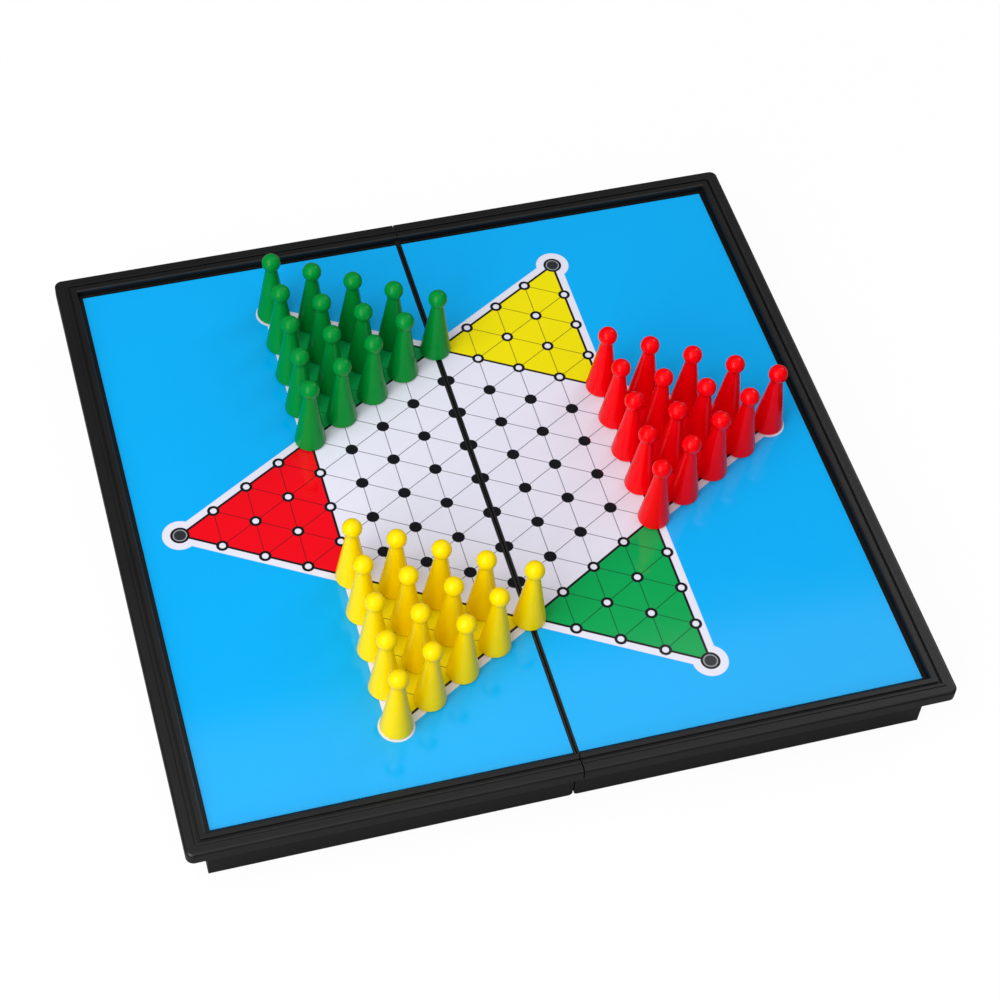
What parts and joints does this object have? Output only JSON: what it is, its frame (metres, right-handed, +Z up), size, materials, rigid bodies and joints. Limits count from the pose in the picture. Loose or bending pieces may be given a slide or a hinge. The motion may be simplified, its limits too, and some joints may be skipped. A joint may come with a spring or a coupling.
{
  "type": "folding magnetic board game box",
  "caption": "Square folding game board of two hinged plastic trays, printed with a six-pointed star of round holes, with cone-shaped magnetic pawns standing on three points.",
  "frame": {"origin": "middle of the open board's seam, on the surface that the board stands on", "axes": "+X to the right across both halves, +Y to the back along the seam, +Z up out of the playing surface"},
  "size_m": [0.2508, 0.24, 0.052],
  "materials": {
    "case_plastic": "black moulded plastic with a soft satin surface",
    "printed_sheet": "glossy blue sheet printed with the star",
    "plate_steel": "thin plain steel plate",
    "link_steel": "plain steel hinge link",
    "pin_steel": "plain steel pin",
    "green_pawn_plastic": "smooth green moulded plastic",
    "yellow_pawn_plastic": "smooth yellow moulded plastic",
    "red_pawn_plastic": "smooth red moulded plastic"
  },
  "bodies": {
    "left_half": {"left_case": "case_plastic", "left_play_sheet": "printed_sheet", "left_steel_plate": "plate_steel", "front_left_hinge_pin": "pin_steel", "rear_left_hinge_pin": "pin_steel"},
    "hinge_links": {"front_hinge_link": "link_steel", "rear_hinge_link": "link_steel"},
    "right_half": {"right_case": "case_plastic", "right_play_sheet": "printed_sheet", "right_steel_plate": "plate_steel", "front_right_hinge_pin": "pin_steel", "rear_right_hinge_pin": "pin_steel"},
    "green_pawn_01": {"green_pawn_01": "green_pawn_plastic"},
    "green_pawn_02": {"green_pawn_02": "green_pawn_plastic"},
    "green_pawn_03": {"green_pawn_03": "green_pawn_plastic"},
    "green_pawn_04": {"green_pawn_04": "green_pawn_plastic"},
    "green_pawn_05": {"green_pawn_05": "green_pawn_plastic"},
    "green_pawn_06": {"green_pawn_06": "green_pawn_plastic"},
    "green_pawn_07": {"green_pawn_07": "green_pawn_plastic"},
    "green_pawn_08": {"green_pawn_08": "green_pawn_plastic"},
    "green_pawn_09": {"green_pawn_09": "green_pawn_plastic"},
    "green_pawn_10": {"green_pawn_10": "green_pawn_plastic"},
    "green_pawn_11": {"green_pawn_11": "green_pawn_plastic"},
    "green_pawn_12": {"green_pawn_12": "green_pawn_plastic"},
    "green_pawn_13": {"green_pawn_13": "green_pawn_plastic"},
    "green_pawn_14": {"green_pawn_14": "green_pawn_plastic"},
    "green_pawn_15": {"green_pawn_15": "green_pawn_plastic"},
    "yellow_pawn_01": {"yellow_pawn_01": "yellow_pawn_plastic"},
    "yellow_pawn_02": {"yellow_pawn_02": "yellow_pawn_plastic"},
    "yellow_pawn_03": {"yellow_pawn_03": "yellow_pawn_plastic"},
    "yellow_pawn_04": {"yellow_pawn_04": "yellow_pawn_plastic"},
    "yellow_pawn_05": {"yellow_pawn_05": "yellow_pawn_plastic"},
    "yellow_pawn_06": {"yellow_pawn_06": "yellow_pawn_plastic"},
    "yellow_pawn_07": {"yellow_pawn_07": "yellow_pawn_plastic"},
    "yellow_pawn_08": {"yellow_pawn_08": "yellow_pawn_plastic"},
    "yellow_pawn_09": {"yellow_pawn_09": "yellow_pawn_plastic"},
    "yellow_pawn_10": {"yellow_pawn_10": "yellow_pawn_plastic"},
    "yellow_pawn_11": {"yellow_pawn_11": "yellow_pawn_plastic"},
    "yellow_pawn_12": {"yellow_pawn_12": "yellow_pawn_plastic"},
    "yellow_pawn_13": {"yellow_pawn_13": "yellow_pawn_plastic"},
    "yellow_pawn_14": {"yellow_pawn_14": "yellow_pawn_plastic"},
    "yellow_pawn_15": {"yellow_pawn_15": "yellow_pawn_plastic"},
    "red_pawn_01": {"red_pawn_01": "red_pawn_plastic"},
    "red_pawn_02": {"red_pawn_02": "red_pawn_plastic"},
    "red_pawn_03": {"red_pawn_03": "red_pawn_plastic"},
    "red_pawn_04": {"red_pawn_04": "red_pawn_plastic"},
    "red_pawn_05": {"red_pawn_05": "red_pawn_plastic"},
    "red_pawn_06": {"red_pawn_06": "red_pawn_plastic"},
    "red_pawn_07": {"red_pawn_07": "red_pawn_plastic"},
    "red_pawn_08": {"red_pawn_08": "red_pawn_plastic"},
    "red_pawn_09": {"red_pawn_09": "red_pawn_plastic"},
    "red_pawn_10": {"red_pawn_10": "red_pawn_plastic"},
    "red_pawn_11": {"red_pawn_11": "red_pawn_plastic"},
    "red_pawn_12": {"red_pawn_12": "red_pawn_plastic"},
    "red_pawn_13": {"red_pawn_13": "red_pawn_plastic"},
    "red_pawn_14": {"red_pawn_14": "red_pawn_plastic"},
    "red_pawn_15": {"red_pawn_15": "red_pawn_plastic"}
  },
  "joints": [
    {"name": "fold_links", "type": "hinge", "parent": "left_half", "child": "hinge_links", "pos_m": [-0.0016, 0, 0.0014], "axis": [0, 1, 0], "range_deg": [0, 90]},
    {"name": "fold_right_half", "type": "hinge", "parent": "hinge_links", "child": "right_half", "pos_m": [0.0016, 0, 0.0014], "axis": [0, 1, 0], "range_deg": [0, 90]},
    {"name": "lift_green_pawn_01", "type": "slide", "parent": "left_half", "child": "green_pawn_01", "axis": [0, 0, 1], "range_m": [0, 0.04]},
    {"name": "lift_green_pawn_02", "type": "slide", "parent": "left_half", "child": "green_pawn_02", "axis": [0, 0, 1], "range_m": [0, 0.04]},
    {"name": "lift_green_pawn_03", "type": "slide", "parent": "left_half", "child": "green_pawn_03", "axis": [0, 0, 1], "range_m": [0, 0.04]},
    {"name": "lift_green_pawn_04", "type": "slide", "parent": "left_half", "child": "green_pawn_04", "axis": [0, 0, 1], "range_m": [0, 0.04]},
    {"name": "lift_green_pawn_05", "type": "slide", "parent": "left_half", "child": "green_pawn_05", "axis": [0, 0, 1], "range_m": [0, 0.04]},
    {"name": "lift_green_pawn_06", "type": "slide", "parent": "left_half", "child": "green_pawn_06", "axis": [0, 0, 1], "range_m": [0, 0.04]},
    {"name": "lift_green_pawn_07", "type": "slide", "parent": "left_half", "child": "green_pawn_07", "axis": [0, 0, 1], "range_m": [0, 0.04]},
    {"name": "lift_green_pawn_08", "type": "slide", "parent": "left_half", "child": "green_pawn_08", "axis": [0, 0, 1], "range_m": [0, 0.04]},
    {"name": "lift_green_pawn_09", "type": "slide", "parent": "left_half", "child": "green_pawn_09", "axis": [0, 0, 1], "range_m": [0, 0.04]},
    {"name": "lift_green_pawn_10", "type": "slide", "parent": "left_half", "child": "green_pawn_10", "axis": [0, 0, 1], "range_m": [0, 0.04]},
    {"name": "lift_green_pawn_11", "type": "slide", "parent": "left_half", "child": "green_pawn_11", "axis": [0, 0, 1], "range_m": [0, 0.04]},
    {"name": "lift_green_pawn_12", "type": "slide", "parent": "left_half", "child": "green_pawn_12", "axis": [0, 0, 1], "range_m": [0, 0.04]},
    {"name": "lift_green_pawn_13", "type": "slide", "parent": "left_half", "child": "green_pawn_13", "axis": [0, 0, 1], "range_m": [0, 0.04]},
    {"name": "lift_green_pawn_14", "type": "slide", "parent": "left_half", "child": "green_pawn_14", "axis": [0, 0, 1], "range_m": [0, 0.04]},
    {"name": "lift_green_pawn_15", "type": "slide", "parent": "left_half", "child": "green_pawn_15", "axis": [0, 0, 1], "range_m": [0, 0.04]},
    {"name": "lift_yellow_pawn_01", "type": "slide", "parent": "left_half", "child": "yellow_pawn_01", "axis": [0, 0, 1], "range_m": [0, 0.04]},
    {"name": "lift_yellow_pawn_02", "type": "slide", "parent": "left_half", "child": "yellow_pawn_02", "axis": [0, 0, 1], "range_m": [0, 0.04]},
    {"name": "lift_yellow_pawn_03", "type": "slide", "parent": "left_half", "child": "yellow_pawn_03", "axis": [0, 0, 1], "range_m": [0, 0.04]},
    {"name": "lift_yellow_pawn_04", "type": "slide", "parent": "left_half", "child": "yellow_pawn_04", "axis": [0, 0, 1], "range_m": [0, 0.04]},
    {"name": "lift_yellow_pawn_05", "type": "slide", "parent": "left_half", "child": "yellow_pawn_05", "axis": [0, 0, 1], "range_m": [0, 0.04]},
    {"name": "lift_yellow_pawn_06", "type": "slide", "parent": "left_half", "child": "yellow_pawn_06", "axis": [0, 0, 1], "range_m": [0, 0.04]},
    {"name": "lift_yellow_pawn_07", "type": "slide", "parent": "left_half", "child": "yellow_pawn_07", "axis": [0, 0, 1], "range_m": [0, 0.04]},
    {"name": "lift_yellow_pawn_08", "type": "slide", "parent": "left_half", "child": "yellow_pawn_08", "axis": [0, 0, 1], "range_m": [0, 0.04]},
    {"name": "lift_yellow_pawn_09", "type": "slide", "parent": "left_half", "child": "yellow_pawn_09", "axis": [0, 0, 1], "range_m": [0, 0.04]},
    {"name": "lift_yellow_pawn_10", "type": "slide", "parent": "left_half", "child": "yellow_pawn_10", "axis": [0, 0, 1], "range_m": [0, 0.04]},
    {"name": "lift_yellow_pawn_11", "type": "slide", "parent": "left_half", "child": "yellow_pawn_11", "axis": [0, 0, 1], "range_m": [0, 0.04]},
    {"name": "lift_yellow_pawn_12", "type": "slide", "parent": "left_half", "child": "yellow_pawn_12", "axis": [0, 0, 1], "range_m": [0, 0.04]},
    {"name": "lift_yellow_pawn_13", "type": "slide", "parent": "left_half", "child": "yellow_pawn_13", "axis": [0, 0, 1], "range_m": [0, 0.04]},
    {"name": "lift_yellow_pawn_14", "type": "slide", "parent": "left_half", "child": "yellow_pawn_14", "axis": [0, 0, 1], "range_m": [0, 0.04]},
    {"name": "lift_yellow_pawn_15", "type": "slide", "parent": "left_half", "child": "yellow_pawn_15", "axis": [0, 0, 1], "range_m": [0, 0.04]},
    {"name": "lift_red_pawn_01", "type": "slide", "parent": "right_half", "child": "red_pawn_01", "axis": [0, 0, 1], "range_m": [0, 0.04]},
    {"name": "lift_red_pawn_02", "type": "slide", "parent": "right_half", "child": "red_pawn_02", "axis": [0, 0, 1], "range_m": [0, 0.04]},
    {"name": "lift_red_pawn_03", "type": "slide", "parent": "right_half", "child": "red_pawn_03", "axis": [0, 0, 1], "range_m": [0, 0.04]},
    {"name": "lift_red_pawn_04", "type": "slide", "parent": "right_half", "child": "red_pawn_04", "axis": [0, 0, 1], "range_m": [0, 0.04]},
    {"name": "lift_red_pawn_05", "type": "slide", "parent": "right_half", "child": "red_pawn_05", "axis": [0, 0, 1], "range_m": [0, 0.04]},
    {"name": "lift_red_pawn_06", "type": "slide", "parent": "right_half", "child": "red_pawn_06", "axis": [0, 0, 1], "range_m": [0, 0.04]},
    {"name": "lift_red_pawn_07", "type": "slide", "parent": "right_half", "child": "red_pawn_07", "axis": [0, 0, 1], "range_m": [0, 0.04]},
    {"name": "lift_red_pawn_08", "type": "slide", "parent": "right_half", "child": "red_pawn_08", "axis": [0, 0, 1], "range_m": [0, 0.04]},
    {"name": "lift_red_pawn_09", "type": "slide", "parent": "right_half", "child": "red_pawn_09", "axis": [0, 0, 1], "range_m": [0, 0.04]},
    {"name": "lift_red_pawn_10", "type": "slide", "parent": "right_half", "child": "red_pawn_10", "axis": [0, 0, 1], "range_m": [0, 0.04]},
    {"name": "lift_red_pawn_11", "type": "slide", "parent": "right_half", "child": "red_pawn_11", "axis": [0, 0, 1], "range_m": [0, 0.04]},
    {"name": "lift_red_pawn_12", "type": "slide", "parent": "right_half", "child": "red_pawn_12", "axis": [0, 0, 1], "range_m": [0, 0.04]},
    {"name": "lift_red_pawn_13", "type": "slide", "parent": "right_half", "child": "red_pawn_13", "axis": [0, 0, 1], "range_m": [0, 0.04]},
    {"name": "lift_red_pawn_14", "type": "slide", "parent": "right_half", "child": "red_pawn_14", "axis": [0, 0, 1], "range_m": [0, 0.04]},
    {"name": "lift_red_pawn_15", "type": "slide", "parent": "right_half", "child": "red_pawn_15", "axis": [0, 0, 1], "range_m": [0, 0.04]}
  ]
}
